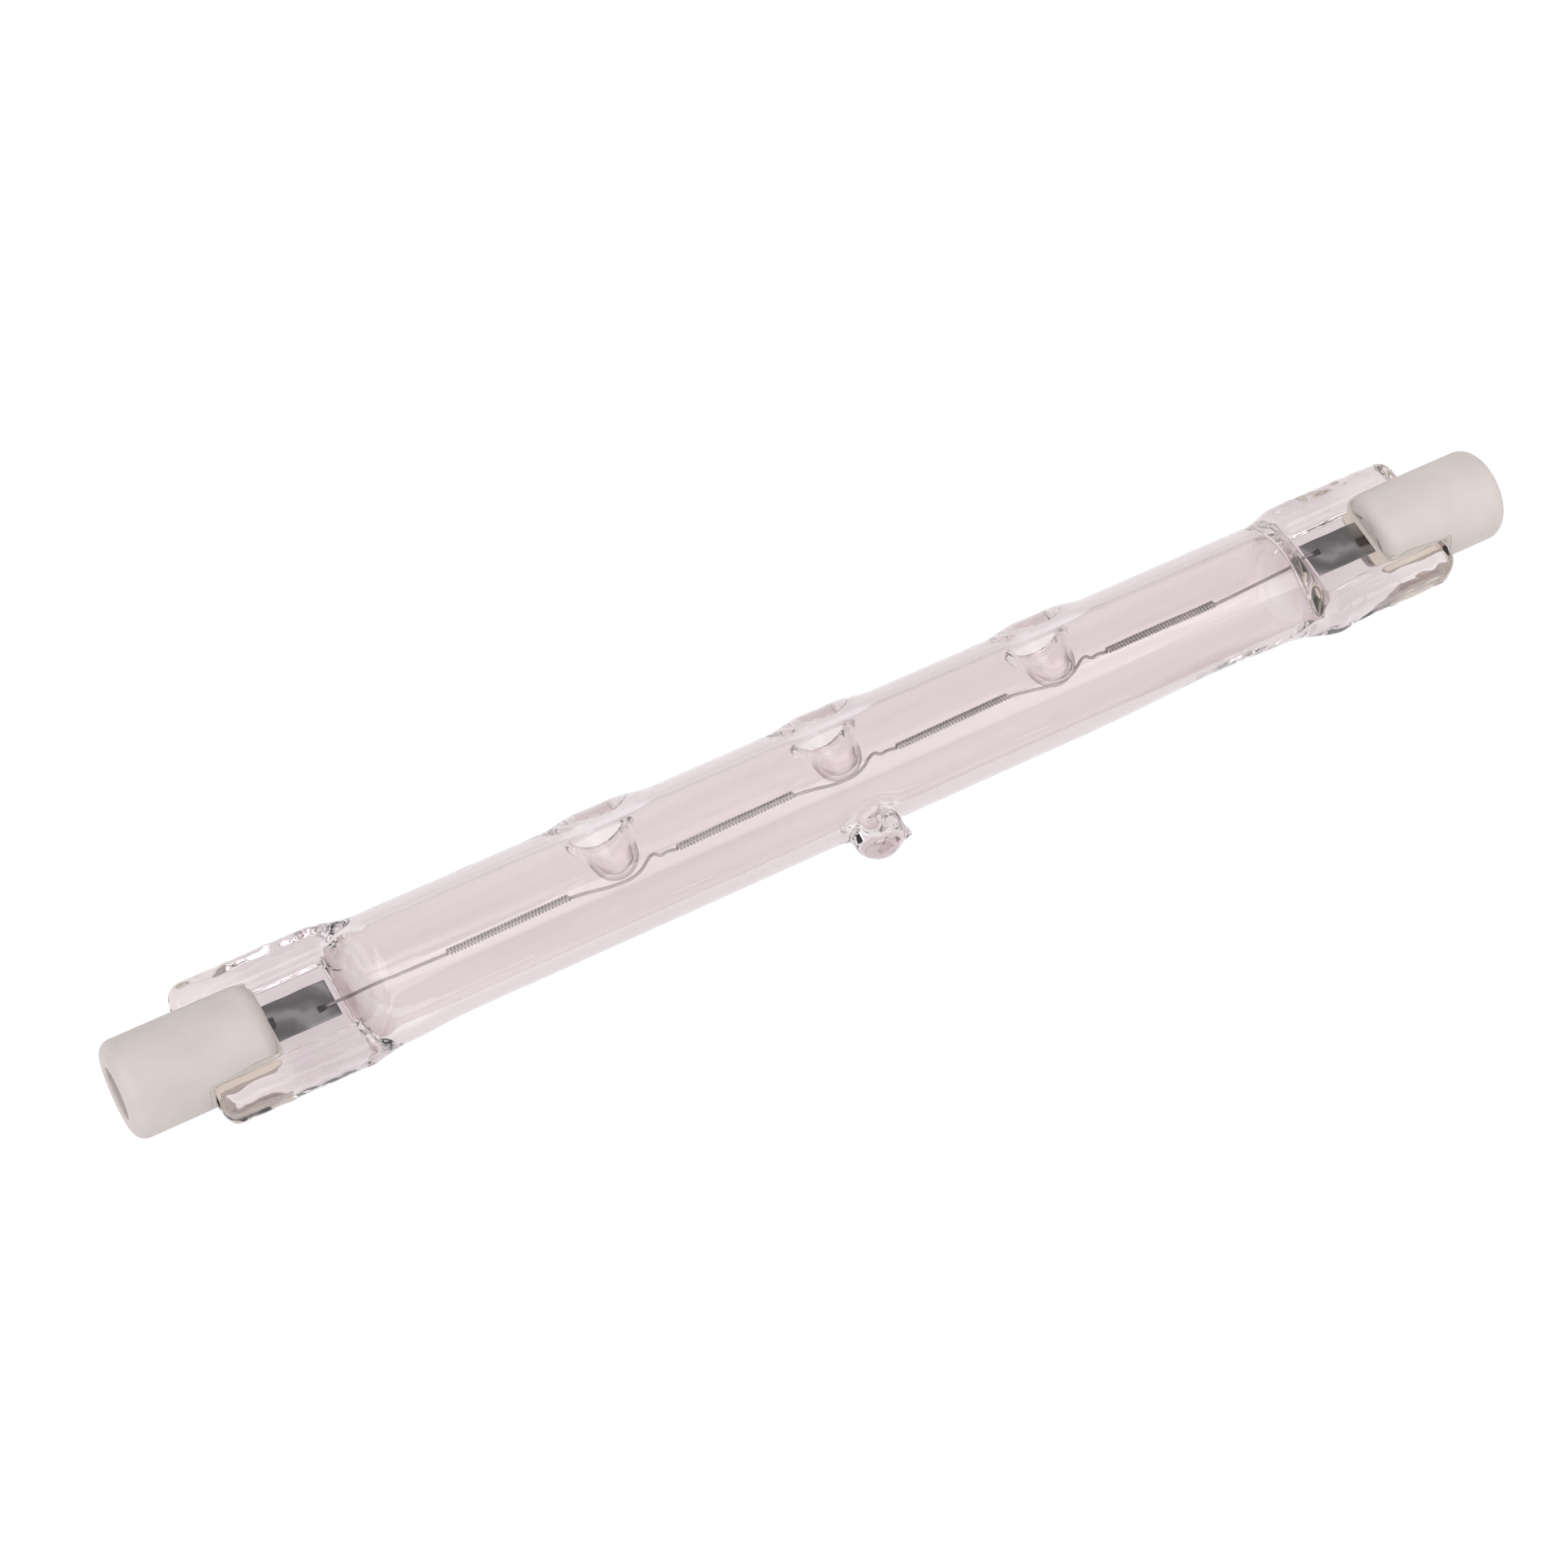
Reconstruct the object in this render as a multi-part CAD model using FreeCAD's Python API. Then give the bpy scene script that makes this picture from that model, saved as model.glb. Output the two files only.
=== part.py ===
import FreeCAD, Part
import math
import os

# Double-ended linear halogen lamp with recessed end contacts, in millimetres.
# +X runs along the lamp, the origin is on its axis at mid-length and +Z is up.
# The lamp is built with its pinch seals level and its exhaust tip towards -Y,
# then rolled about X until it lies on its tube, with the tip just clear of the surface below.

# Lamp as a whole
overall_length = 118.0

# Quartz tube
tube_diameter = 9.7
tube_wall = 1.0

# Pinch seals
pinch_length = 11.0
pinch_width = 11.2
pinch_rim_thickness = 3.4
pinch_rim_width = 2.5
pinch_web_thickness = 2.2
pinch_edge_rounding = 1.1
pinch_corner_rounding = 1.3
shoulder_length = 3.0
trough_wall_slope = 20.0
trough_end_slope = 45.0
cavity_slit_height = 0.6
cavity_slit_setback = 0.6

# Exhaust tip
tip_radius = 2.05
tip_stand_off = 0.7
tip_position = -0.4
tip_nub_radius = 0.5
tip_nub_length = 0.6
tip_nub_angle = 62.0
tip_rest_gap = 0.16
stub_bore_radius = 0.6
stub_bore_depth = 1.7

# Dimples that hold the filament
dimple_count = 3
dimple_pitch = 19.0
dimple_lean = 90.0
dimple_nose_radius = 0.85
dimple_nose_depth = 0.5
dimple_flank_angle = 12.0
dimple_flare_angle = 40.0
dimple_flare_depth = 0.5
dimple_wire_gap = 0.2
swell_height = 0.4
swell_crown_length = 3.0
swell_taper_length = 3.0

# Filament
wire_diameter = 0.2
coil_diameter = 0.6
coil_length = 9.9
leg_weld_length = 1.4

# Sealing foils and outer leads
foil_length = 8.2
foil_width = 3.1
foil_thickness = 0.08
foil_setback = 0.3
lead_diameter = 0.7
lead_overlap = 3.6

# Ceramic caps
cap_diameter = 7.5
cap_length = 11.4
cap_head_length = 5.6
cap_edge_chamfer = 0.7
slot_clearance = 0.15
tongue_straight_length = 1.9
tongue_corner_rounding = 0.9
recess_depth = 1.9
recess_diameter = 4.0

# Contacts and cement
contact_diameter = 3.0
contact_length = 1.6
cement_bed = 0.4
cement_squeeze_out = 0.25

# Radii worked out from the diameters
tube_radius = tube_diameter / 2
bore_radius = tube_radius - tube_wall
tip_reach = tube_radius + tip_stand_off
wire_radius = wire_diameter / 2
coil_radius = coil_diameter / 2
coil_bore_radius = coil_radius - wire_diameter
lead_radius = lead_diameter / 2
cap_radius = cap_diameter / 2
recess_radius = recess_diameter / 2
contact_radius = contact_diameter / 2

# Stations along +X, worked inwards from the lamp's end
end_x = overall_length / 2
contact_face_x = end_x - recess_depth
contact_back_x = contact_face_x - contact_length
slot_bottom_x = end_x - cap_head_length
tongue_end_x = end_x - cap_length
pinch_end_x = slot_bottom_x - cement_bed
pinch_flat_x = pinch_end_x - pinch_length
shoulder_x = pinch_flat_x - shoulder_length
cavity_end_x = pinch_flat_x - cavity_slit_setback
foil_inner_x = pinch_flat_x + foil_setback
foil_outer_x = foil_inner_x + foil_length
lead_start_x = foil_outer_x - lead_overlap
leg_end_x = foil_inner_x + leg_weld_length

# Heights in the seal: the filament's leg runs straight on to the foil, and the outer lead lies on it too
leg_z = -coil_bore_radius
foil_top_z = leg_z - wire_radius
lead_z = foil_top_z + lead_radius

# The dimples' noses pass the lamp's axis, and the filament's runs dip to clear them
dimple_nose_z = -dimple_nose_depth
run_low_z = dimple_nose_z - dimple_wire_gap - wire_radius

# Stations of the dimples and of the coils between them
dimple_stations = [dimple_pitch * (i - (dimple_count - 1) / 2) for i in range(dimple_count)]
coil_stations = [dimple_pitch * (i - dimple_count / 2) for i in range(dimple_count + 1)]

# Half widths in the pinch's section
pinch_half_width = pinch_width / 2
rim_half_height = pinch_rim_thickness / 2
web_half_height = pinch_web_thickness / 2
trough_half_width = pinch_half_width - pinch_rim_width
tongue_half_width = trough_half_width - slot_clearance

# Roll at which the exhaust tip just clears the level surface that the tube lies on
rest_roll = math.degrees(math.asin((tube_radius - tip_radius - tip_rest_gap) / tip_reach))

ORIGIN = FreeCAD.Vector(0, 0, 0)
ALONG = FreeCAD.Vector(1, 0, 0)
ACROSS = FreeCAD.Vector(0, 1, 0)
UP = FreeCAD.Vector(0, 0, 1)
FULL_TURN = 360.0
# How far a cutting tool runs past the face that it cuts through
RUN_OUT = 1.0
# Half the turn that each facet of a dimple's nose stands for
NOSE_FACET = math.radians(22.5)
# Angles at which the round section is split, to match the flats and corners of the pinch
SIDE_SPLIT = math.radians(10.0)
TOP_SPLIT = math.radians(40.0)
EDGE_MATCH = 0.02


def face_of(points):
    """A flat face bounded by straight lines through the points."""
    corners = [FreeCAD.Vector(*point) for point in points]
    return Part.Face(Part.makePolygon(corners + corners[:1]))


def arc_between(start, middle, end):
    """An edge along the arc through three points."""
    return Part.Arc(FreeCAD.Vector(*start), FreeCAD.Vector(*middle), FreeCAD.Vector(*end)).toShape()


def line_between(start, end):
    """A straight edge."""
    return Part.makeLine(FreeCAD.Vector(*start), FreeCAD.Vector(*end))


def rod(start_x, stop_x, radius, y=0.0, z=0.0):
    """A round rod along X."""
    return Part.makeCylinder(radius, stop_x - start_x, FreeCAD.Vector(start_x, y, z), ALONG)


def block(x_range, y_range, z_range):
    """A box between three pairs of limits."""
    low = FreeCAD.Vector(x_range[0], y_range[0], z_range[0])
    sides = [limits[1] - limits[0] for limits in (x_range, y_range, z_range)]
    return Part.makeBox(*sides, low)


def round_section(x, radius):
    """A circle across the lamp, split into the eight arcs that match a rounded rectangle."""
    turns = (-SIDE_SPLIT, SIDE_SPLIT, TOP_SPLIT, math.pi - TOP_SPLIT)
    splits = [half + turn for half in (0, math.pi) for turn in turns]
    splits.append(2 * math.pi - SIDE_SPLIT)

    def at(angle):
        return (x, radius * math.cos(angle), radius * math.sin(angle))

    edges = [arc_between(at(a), at((a + b) / 2), at(b)) for a, b in zip(splits, splits[1:])]
    return Part.Wire(edges)


def flat_section(x, half_width, half_height, rounding):
    """A rounded rectangle across the lamp: four flats and four corner arcs."""
    diagonal = rounding * (1 - math.sqrt(0.5))
    inner_y = half_width - rounding
    inner_z = half_height - rounding
    edges = []
    for side_y, side_z, flat_is_side in ((1, 1, True), (-1, 1, False), (-1, -1, True), (1, -1, False)):
        side_end = (x, side_y * half_width, side_z * inner_z)
        top_end = (x, side_y * inner_y, side_z * half_height)
        corner = (x, side_y * (half_width - diagonal), side_z * (half_height - diagonal))
        if flat_is_side:
            edges.append(line_between((x, side_y * half_width, -side_z * inner_z), side_end))
            edges.append(arc_between(side_end, corner, top_end))
        else:
            edges.append(line_between((x, -side_y * inner_y, side_z * half_height), top_end))
            edges.append(arc_between(top_end, corner, side_end))
    return Part.Wire(edges)


def dimple_tool(nose_radius, nose_z, flare_z):
    """A cone with a facetted round nose about the dimple's axis, which flares above the given height."""
    top_z = tube_radius + swell_height + RUN_OUT
    flat_x = nose_radius * math.tan(NOSE_FACET)
    side_z = nose_z + nose_radius - flat_x
    flare_x = nose_radius + (flare_z - side_z) * math.tan(math.radians(dimple_flank_angle))
    top_x = flare_x + (top_z - flare_z) * math.tan(math.radians(dimple_flare_angle))
    section = face_of(
        [
            (0, 0, nose_z),
            (flat_x, 0, nose_z),
            (nose_radius, 0, side_z),
            (flare_x, 0, flare_z),
            (top_x, 0, top_z),
            (0, 0, top_z),
        ]
    )
    return section.revolve(ORIGIN, UP, FULL_TURN)


def dimple_pit():
    """The dimple as the outside shows it."""
    flare_z = tube_radius + swell_height - dimple_flare_depth
    return dimple_tool(dimple_nose_radius, dimple_nose_z + tube_wall, flare_z)


def dimple_nose():
    """The dimple as it stands in the gas space: the pit with the tube's wall round it."""
    return dimple_tool(dimple_nose_radius + tube_wall, dimple_nose_z, tube_radius)


def swell():
    """The low bulge of softened quartz around a dimple: a shallow barrel, off centre towards it.

    Its tapers reach the tube's surface at the taper length and run on as far again, under the surface.
    """
    crown_x = swell_crown_length / 2
    end_taper_x = crown_x + 2 * swell_taper_length
    end_radius = tube_radius - 2 * swell_height
    section = face_of(
        [
            (-end_taper_x, 0, 0),
            (-end_taper_x, 0, end_radius),
            (-crown_x, 0, tube_radius),
            (crown_x, 0, tube_radius),
            (end_taper_x, 0, end_radius),
            (end_taper_x, 0, 0),
        ]
    )
    barrel = section.revolve(ORIGIN, ALONG, FULL_TURN)
    barrel.translate(UP * swell_height)
    return barrel


def at_dimples(shape):
    """Copies of a shape made about +Z, leaned to the dimples' side and set at each dimple."""
    copies = []
    for station in dimple_stations:
        copy = shape.copy()
        copy.rotate(ORIGIN, ALONG, -dimple_lean)
        copy.translate(ALONG * station)
        copies.append(copy)
    return copies


def both_ends(shape):
    """A shape at the +X end and its mirror image at the -X end."""
    return [shape, shape.mirror(ORIGIN, ALONG)]


def pinch_blank():
    """One seal's outside: the shoulder where the tube flattens, then the flat with its rounded corners."""
    flat = flat_section(pinch_flat_x, pinch_half_width, rim_half_height, pinch_edge_rounding)
    shoulder = Part.makeLoft([round_section(shoulder_x, tube_radius), flat], True, False)
    body = Part.Face(flat).extrude(ALONG * (pinch_end_x - pinch_flat_x))
    reach = pinch_half_width + RUN_OUT
    plan = block((shoulder_x, pinch_end_x), (-pinch_half_width, pinch_half_width), (-reach, reach))
    corners = [
        edge
        for edge in plan.Edges
        if abs(edge.BoundBox.XMin - pinch_end_x) < EDGE_MATCH and edge.BoundBox.ZLength > reach
    ]
    return shoulder.fuse(body.common(plan.makeFillet(pinch_corner_rounding, corners)))


def trough():
    """The jaw mark in each face of a pinch that leaves a thinner web between two thick rims."""
    top_z = rim_half_height + RUN_OUT
    depth = top_z - web_half_height
    spread = depth * math.tan(math.radians(trough_wall_slope))
    run = depth * math.tan(math.radians(trough_end_slope))
    start_x = pinch_flat_x - RUN_OUT - run
    stop_x = pinch_end_x + RUN_OUT
    across = face_of(
        [
            (start_x, -trough_half_width, web_half_height),
            (start_x, trough_half_width, web_half_height),
            (start_x, trough_half_width + spread, top_z),
            (start_x, -trough_half_width - spread, top_z),
        ]
    ).extrude(ALONG * (stop_x - start_x))
    side_y = pinch_half_width
    along = face_of(
        [
            (foil_inner_x, -side_y, web_half_height),
            (stop_x, -side_y, web_half_height),
            (stop_x, -side_y, top_z),
            (foil_inner_x - run, -side_y, top_z),
        ]
    ).extrude(ACROSS * pinch_width)
    upper = across.common(along)
    return [upper, upper.mirror(ORIGIN, UP)]


def seal_channel(start_x, stop_x, floor_z, radius):
    """The arched passage that a wire leaves in the quartz where it lies on the foil."""
    crown_z = floor_z + radius
    outline = [
        line_between((start_x, -radius, floor_z), (start_x, radius, floor_z)),
        line_between((start_x, radius, floor_z), (start_x, radius, crown_z)),
        arc_between((start_x, radius, crown_z), (start_x, 0, crown_z + radius), (start_x, -radius, crown_z)),
        line_between((start_x, -radius, crown_z), (start_x, -radius, floor_z)),
    ]
    return Part.Face(Part.Wire(outline)).extrude(ALONG * (stop_x - start_x))


def foil():
    """One sealing foil, under the lamp's axis."""
    half = foil_width / 2
    return block((foil_inner_x, foil_outer_x), (-half, half), (foil_top_z - foil_thickness, foil_top_z))


def seal_passages():
    """All that one pinch holds: the foil, the filament's leg and the outer lead."""
    leg = seal_channel(cavity_end_x - RUN_OUT, leg_end_x, foil_top_z, wire_radius)
    lead = seal_channel(lead_start_x, pinch_end_x + RUN_OUT, foil_top_z, lead_radius)
    return foil().fuse([leg, lead])


def exhaust_tip():
    """The drop left where the exhaust tube was melted off, with the nub where the torch drew it away."""
    centre = FreeCAD.Vector(tip_position, -tip_reach, 0)
    angle = math.radians(tip_nub_angle)
    aside = FreeCAD.Vector(math.sin(angle), -math.cos(angle), 0)
    drop = Part.makeSphere(tip_radius, centre)
    return drop.fuse(Part.makeCylinder(tip_nub_radius, tip_radius + tip_nub_length, centre, aside))


def exhaust_stub():
    """What is left of the exhaust tube's bore, closed by the drop."""
    mouth = FreeCAD.Vector(tip_position, RUN_OUT - bore_radius, 0)
    return Part.makeCylinder(stub_bore_radius, stub_bore_depth + RUN_OUT, mouth, -ACROSS)


def cavity():
    """The gas space: the tube's bore, closing to a slit at each seal, with the dimples' noses in it."""
    reach = bore_radius + RUN_OUT
    slit = cavity_slit_height / 2
    slope_run = (cavity_end_x - shoulder_x) / (bore_radius - slit)
    ridge_x = shoulder_x - RUN_OUT * slope_run
    chisel = face_of(
        [
            (-cavity_end_x, -reach, -slit),
            (-ridge_x, -reach, -reach),
            (ridge_x, -reach, -reach),
            (cavity_end_x, -reach, -slit),
            (cavity_end_x, -reach, slit),
            (ridge_x, -reach, reach),
            (-ridge_x, -reach, reach),
            (-cavity_end_x, -reach, slit),
        ]
    ).extrude(ACROSS * 2 * reach)
    bore = rod(-cavity_end_x, cavity_end_x, bore_radius).common(chisel)
    return bore.cut(at_dimples(dimple_nose())).fuse(exhaust_stub())


def quartz_envelope():
    """The whole blown piece: tube, dimples, exhaust tip and pinch seals."""
    outside = rod(-shoulder_x, shoulder_x, tube_radius)
    for addition in at_dimples(swell()) + both_ends(pinch_blank()) + [exhaust_tip()]:
        outside = outside.fuse(addition)
    outside = outside.cut(at_dimples(dimple_pit()))
    for end in both_ends(Part.makeCompound(trough())):
        outside = outside.cut(end)
    return outside.cut(cavity()).cut(both_ends(seal_passages()))


def run():
    """The wire between two coils, about +Z: it dips in the middle to pass under a dimple's nose."""
    coil_end_x = (dimple_pitch - coil_length) / 2 + wire_radius
    low = FreeCAD.Vector(0, 0, run_low_z)
    sides = []
    for end_x in (-coil_end_x, coil_end_x):
        start = FreeCAD.Vector(end_x, 0, -coil_bore_radius)
        slope = low - start
        sides.append(Part.makeCylinder(wire_radius, slope.Length + wire_radius, start, slope))
    return sides[0].fuse(sides[1])


def filament():
    """One tungsten wire: the coils as solids of their true size, the runs between them and the legs."""
    half = coil_length / 2
    coils = [rod(station - half, station + half, coil_radius) for station in coil_stations]
    leg = rod(coil_stations[-1] + half, leg_end_x, wire_radius, 0, leg_z)
    return coils[0].fuse(coils[1:] + at_dimples(run()) + both_ends(leg))


def tongue_plan(margin):
    """The plan of a cap's tongues: full width at the slot's bottom, tapering to fit between the rims."""
    narrow = tongue_half_width + margin
    wide = cap_radius + margin
    full = cap_radius + RUN_OUT
    tip_x = tongue_end_x - margin
    round_end_x = tip_x + tongue_corner_rounding
    round_start_y = narrow - tongue_corner_rounding
    fall = tongue_corner_rounding * (1 - math.sqrt(0.5))
    taper_x = tongue_end_x + tongue_straight_length
    bend = ((taper_x + slot_bottom_x) / 2, narrow + (wide - narrow) / 4, 0)
    half = [
        line_between((tip_x, 0, 0), (tip_x, round_start_y, 0)),
        arc_between((tip_x, round_start_y, 0), (tip_x + fall, narrow - fall, 0), (round_end_x, narrow, 0)),
        line_between((round_end_x, narrow, 0), (taper_x, narrow, 0)),
        arc_between((taper_x, narrow, 0), bend, (slot_bottom_x, wide, 0)),
        line_between((slot_bottom_x, wide, 0), (slot_bottom_x, full, 0)),
        line_between((slot_bottom_x, full, 0), (end_x, full, 0)),
        line_between((end_x, full, 0), (end_x, 0, 0)),
        line_between((end_x, 0, 0), (tip_x, 0, 0)),
    ]
    side = Part.Face(Part.Wire(half)).extrude(UP * 2 * full)
    side.translate(-UP * full)
    return side.fuse(side.mirror(ORIGIN, ACROSS)).removeSplitter()


def slot():
    """The cap's slot: the pinch's section with clearance all round, open at the tongues' ends."""
    web_y = tongue_half_width
    reach = cap_radius + RUN_OUT
    limits = (tongue_end_x - RUN_OUT, slot_bottom_x)
    web_z = web_half_height + slot_clearance
    rim_z = rim_half_height + slot_clearance
    web = block(limits, (-web_y, web_y), (-web_z, web_z))
    rims = [block(limits, sides, (-rim_z, rim_z)) for sides in ((web_y, reach), (-reach, -web_y))]
    return web.fuse(rims).removeSplitter()


def cap_blank():
    """The cap as turned: eased outer edge, contact recess and the bore that the contact is pressed in."""
    edge = cap_edge_chamfer
    section = face_of(
        [
            (tongue_end_x, 0, 0),
            (tongue_end_x, 0, cap_radius),
            (end_x - edge, 0, cap_radius),
            (end_x, 0, cap_radius - edge),
            (end_x, 0, recess_radius),
            (contact_face_x, 0, recess_radius),
            (contact_face_x, 0, contact_radius),
            (slot_bottom_x, 0, contact_radius),
            (slot_bottom_x, 0, 0),
        ]
    )
    return section.revolve(ORIGIN, ALONG, FULL_TURN)


def ceramic_cap():
    """One cap, its two tongues straddling the pinch between the rims."""
    return cap_blank().common(tongue_plan(0)).cut(slot())


def contact():
    """One contact plug, flush with the recess's floor, with the outer lead welded to its back."""
    return rod(contact_back_x, contact_face_x, contact_radius)


def outer_lead():
    """One lead, from its weld on the foil to its weld on the contact."""
    return rod(lead_start_x, contact_back_x, lead_radius, 0, lead_z)


def cap_cement(envelope):
    """The cement bed between one cap and its pinch, squeezed out a little round the tongues."""
    bed = slot().common(tongue_plan(cement_squeeze_out))
    bed = bed.common(rod(tongue_end_x - RUN_OUT, slot_bottom_x, cap_radius))
    return bed.cut([envelope, seal_passages(), outer_lead()])


def main():
    os.makedirs("parts", exist_ok=True)
    envelope = quartz_envelope()
    pieces = {"quartz_envelope": envelope, "filament": filament()}
    paired = {
        "moly_foil": foil(),
        "outer_lead": outer_lead(),
        "ceramic_cap": ceramic_cap(),
        "contact": contact(),
        "cap_cement": cap_cement(envelope),
    }
    for name, shape in paired.items():
        pieces[name + "_right"], pieces[name + "_left"] = both_ends(shape)
    for name, shape in pieces.items():
        shape.rotate(ORIGIN, ALONG, rest_roll)
        shape.exportStep("parts/" + name + ".step")


main()
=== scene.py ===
import math

import bpy
import numpy as np
from mathutils import Matrix, Vector, noise


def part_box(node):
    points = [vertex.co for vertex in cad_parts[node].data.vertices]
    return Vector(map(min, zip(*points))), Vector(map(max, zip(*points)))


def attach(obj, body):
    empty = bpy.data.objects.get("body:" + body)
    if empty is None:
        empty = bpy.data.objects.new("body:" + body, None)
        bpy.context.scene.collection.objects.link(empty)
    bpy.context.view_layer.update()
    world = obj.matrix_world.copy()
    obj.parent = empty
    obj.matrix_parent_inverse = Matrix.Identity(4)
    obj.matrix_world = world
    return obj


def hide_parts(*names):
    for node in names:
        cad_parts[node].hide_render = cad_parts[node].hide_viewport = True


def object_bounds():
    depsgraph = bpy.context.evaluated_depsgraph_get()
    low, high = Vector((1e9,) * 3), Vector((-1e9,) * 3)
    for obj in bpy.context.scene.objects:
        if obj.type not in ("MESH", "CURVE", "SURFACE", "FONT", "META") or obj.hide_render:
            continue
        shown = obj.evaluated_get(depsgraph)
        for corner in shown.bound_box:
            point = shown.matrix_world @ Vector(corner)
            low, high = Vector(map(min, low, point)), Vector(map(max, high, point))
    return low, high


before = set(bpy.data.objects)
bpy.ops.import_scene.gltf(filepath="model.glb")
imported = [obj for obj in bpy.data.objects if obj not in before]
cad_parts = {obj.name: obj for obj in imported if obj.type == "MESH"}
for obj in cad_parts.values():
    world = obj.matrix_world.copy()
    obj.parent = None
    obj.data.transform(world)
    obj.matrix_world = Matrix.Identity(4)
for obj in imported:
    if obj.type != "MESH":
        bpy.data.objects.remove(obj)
cad_low, cad_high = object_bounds()

# Sizes in millimetres in the lamp's own frame: X along it, pinch seals level, exhaust tip towards -Y
MM = 0.001
TUBE_RADIUS = 4.85
TUBE_WALL = 1.0
BORE_RADIUS = TUBE_RADIUS - TUBE_WALL

# Exhaust tip: a bead melted onto the tube, with a short drawn-off nub
TIP_X = -0.4
TIP_RADIUS = 2.05
TIP_LIFT = 0.7
TIP_REACH = TUBE_RADIUS + TIP_LIFT
TIP_BASE_REACH = 3.3
TIP_NECK_SHARE = 0.75
TIP_NECK_ANGLE = math.radians(105)
TIP_REST_GAP = 0.16
NUB_ANGLE = math.radians(62)
NUB_LENGTH = 0.6
NUB_SPREAD = 0.24
STUB_RADIUS = 0.75
STUB_DEPTH = 1.6
REST_ROLL = math.asin((TUBE_RADIUS - TIP_RADIUS - TIP_REST_GAP) / TIP_REACH)

# Dimples that carry the filament, and the slight swell of the tube round each one
DIMPLE_PITCH = 19.0
DIMPLES_X = (-DIMPLE_PITCH, 0.0, DIMPLE_PITCH)
DIMPLE_LEAN = math.radians(90)
DIMPLE_FLANK = math.radians(12)
DIMPLE_NOSE_Z = -0.5
DIMPLE_WALL = 0.45
NOSE_RADIUS = 1.85
PIT_RADIUS = NOSE_RADIUS - DIMPLE_WALL
PIT_BLEND = 1.6
NOSE_BLEND = 2.0
SWELL_HEIGHT = 0.4
SWELL_CROWN = 1.5
SWELL_TAPER = 3.0

# Grid lines drawn together on a dimple's flank: their reach, and the shares drawn to its foot and top
DIMPLE_REACH = 4.2
FLANK_MARGIN = 0.25
FOOT_SHARE = 0.3
TOP_SHARE = 0.75

# Pinch seals: a flat blade with a thick rim round a sunken web
PINCH_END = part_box("quartz_envelope")[1].x / MM
PINCH_LENGTH = 11.0
PINCH_FLAT = PINCH_END - PINCH_LENGTH
SHOULDER_LENGTH = 3.4
SHOULDER = PINCH_FLAT - SHOULDER_LENGTH
PINCH_HALF_WIDTH = 5.6
RIM_HALF_HEIGHT = 1.7
TROUGH_DEPTH = 0.6
TROUGH_HALF_WIDTH = 3.1
TROUGH_SLOPE = 0.35
TROUGH_LEAD = 0.9
TROUGH_START = PINCH_FLAT - TROUGH_LEAD
TROUGH_RUN = 1.2
EDGE_ROUNDING = 1.1
CORNER_ROUNDING = 1.3
CORNER_START = PINCH_END - CORNER_ROUNDING
END_ROUNDING = 0.8
SIDE_SHARE = math.radians(10)
CORNER_SHARE = math.radians(42)
CAVITY_SETBACK = 0.2
CAVITY_END = PINCH_FLAT - CAVITY_SETBACK
CAVITY_HALF_WIDTH = 4.0
CAVITY_SLIT = 0.08
CAVITY_FRONT_BULGE = 0.8

# Fineness of the glass skins: points round them, and steps along them where they are shaped or plain
SKIN_COLUMNS = 144
FINE_STEP = 0.2
PLAIN_STEP = 0.9
SEAL_STEP = 0.3
CORNER_STEP = 0.1
CAVITY_STEP = 0.12
MIDDLE_FINE_END = 5.0
DIMPLE_FINE_REACH = 4.5
SEAL_FINE_END = 44.0

# Unevenness of drawn and pressed quartz
WAVE_SEED = 7
TUBE_UNEVEN = 0.02
PINCH_UNEVEN = 0.05
UNEVEN_SIZE = 5.0
RIM_UNEVEN = 0.08
RIM_UNEVEN_SIZE = 0.8
RIM_INSIDE = 3.4
RIM_BLEND = 1.0
# The tube's low side: (station, half length, rise) of the neck and bulges that the torch left
DENTS = ((31.5, 6.0, 0.35), (-38.3, 2.5, -0.3), (41.5, 2.0, -0.25))

# Filament wire, its four coils and the bent runs under the dimples
COIL_WIRE_RADIUS = 0.1
RUN_WIRE_RADIUS = 0.125
COIL_RADIUS = 0.2
COIL_LENGTH = 9.9
COILS_X = (-28.5, -9.5, 9.5, 28.5)
COIL_TURNS = 36
POINTS_PER_TURN = 14
WIRE_SIDES = 7
LEG_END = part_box("filament")[1].x / MM
LEG_LENGTH = 4.0
LEG_Z = -0.1
WIRE_SKEW = 0.014
WIRE_OFFSET = 0.1
WELD_LENGTH = 0.9
WELD_SPREAD = 1.0
# Bends of a run, as (distance past the dimple, height towards it)
RUN_BENDS = ((-3.0, -0.3), (-1.2, -0.72), (0.9, -0.75), (2.6, 0.5), (3.1, -0.1), (3.6, 0.1))
BEND_CUT = 0.25
BEND_ROUNDS = 2

# Molybdenum foils in the pinch seals, with their wavy cut edge and rippled face
FOIL_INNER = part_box("moly_foil_right")[0].x / MM
FOIL_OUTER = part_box("moly_foil_right")[1].x / MM
FOIL_HALF_WIDTH = 1.55
FOIL_THICKNESS = 0.08
FOIL_Z = -0.24
FOIL_ASKEW = {"left": 0.0, "right": 0.3}
FOIL_ROWS = 60
FOIL_COLUMNS = 20
EDGE_WAVE_SHARE = 0.01
EDGE_WAVE_PACE = 2.1
RIPPLE_HEIGHT = 0.03
RIPPLE_PACE = 1.7
RIPPLE_SLANT = 1.3
RIPPLE_SWAY = 0.6

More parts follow.
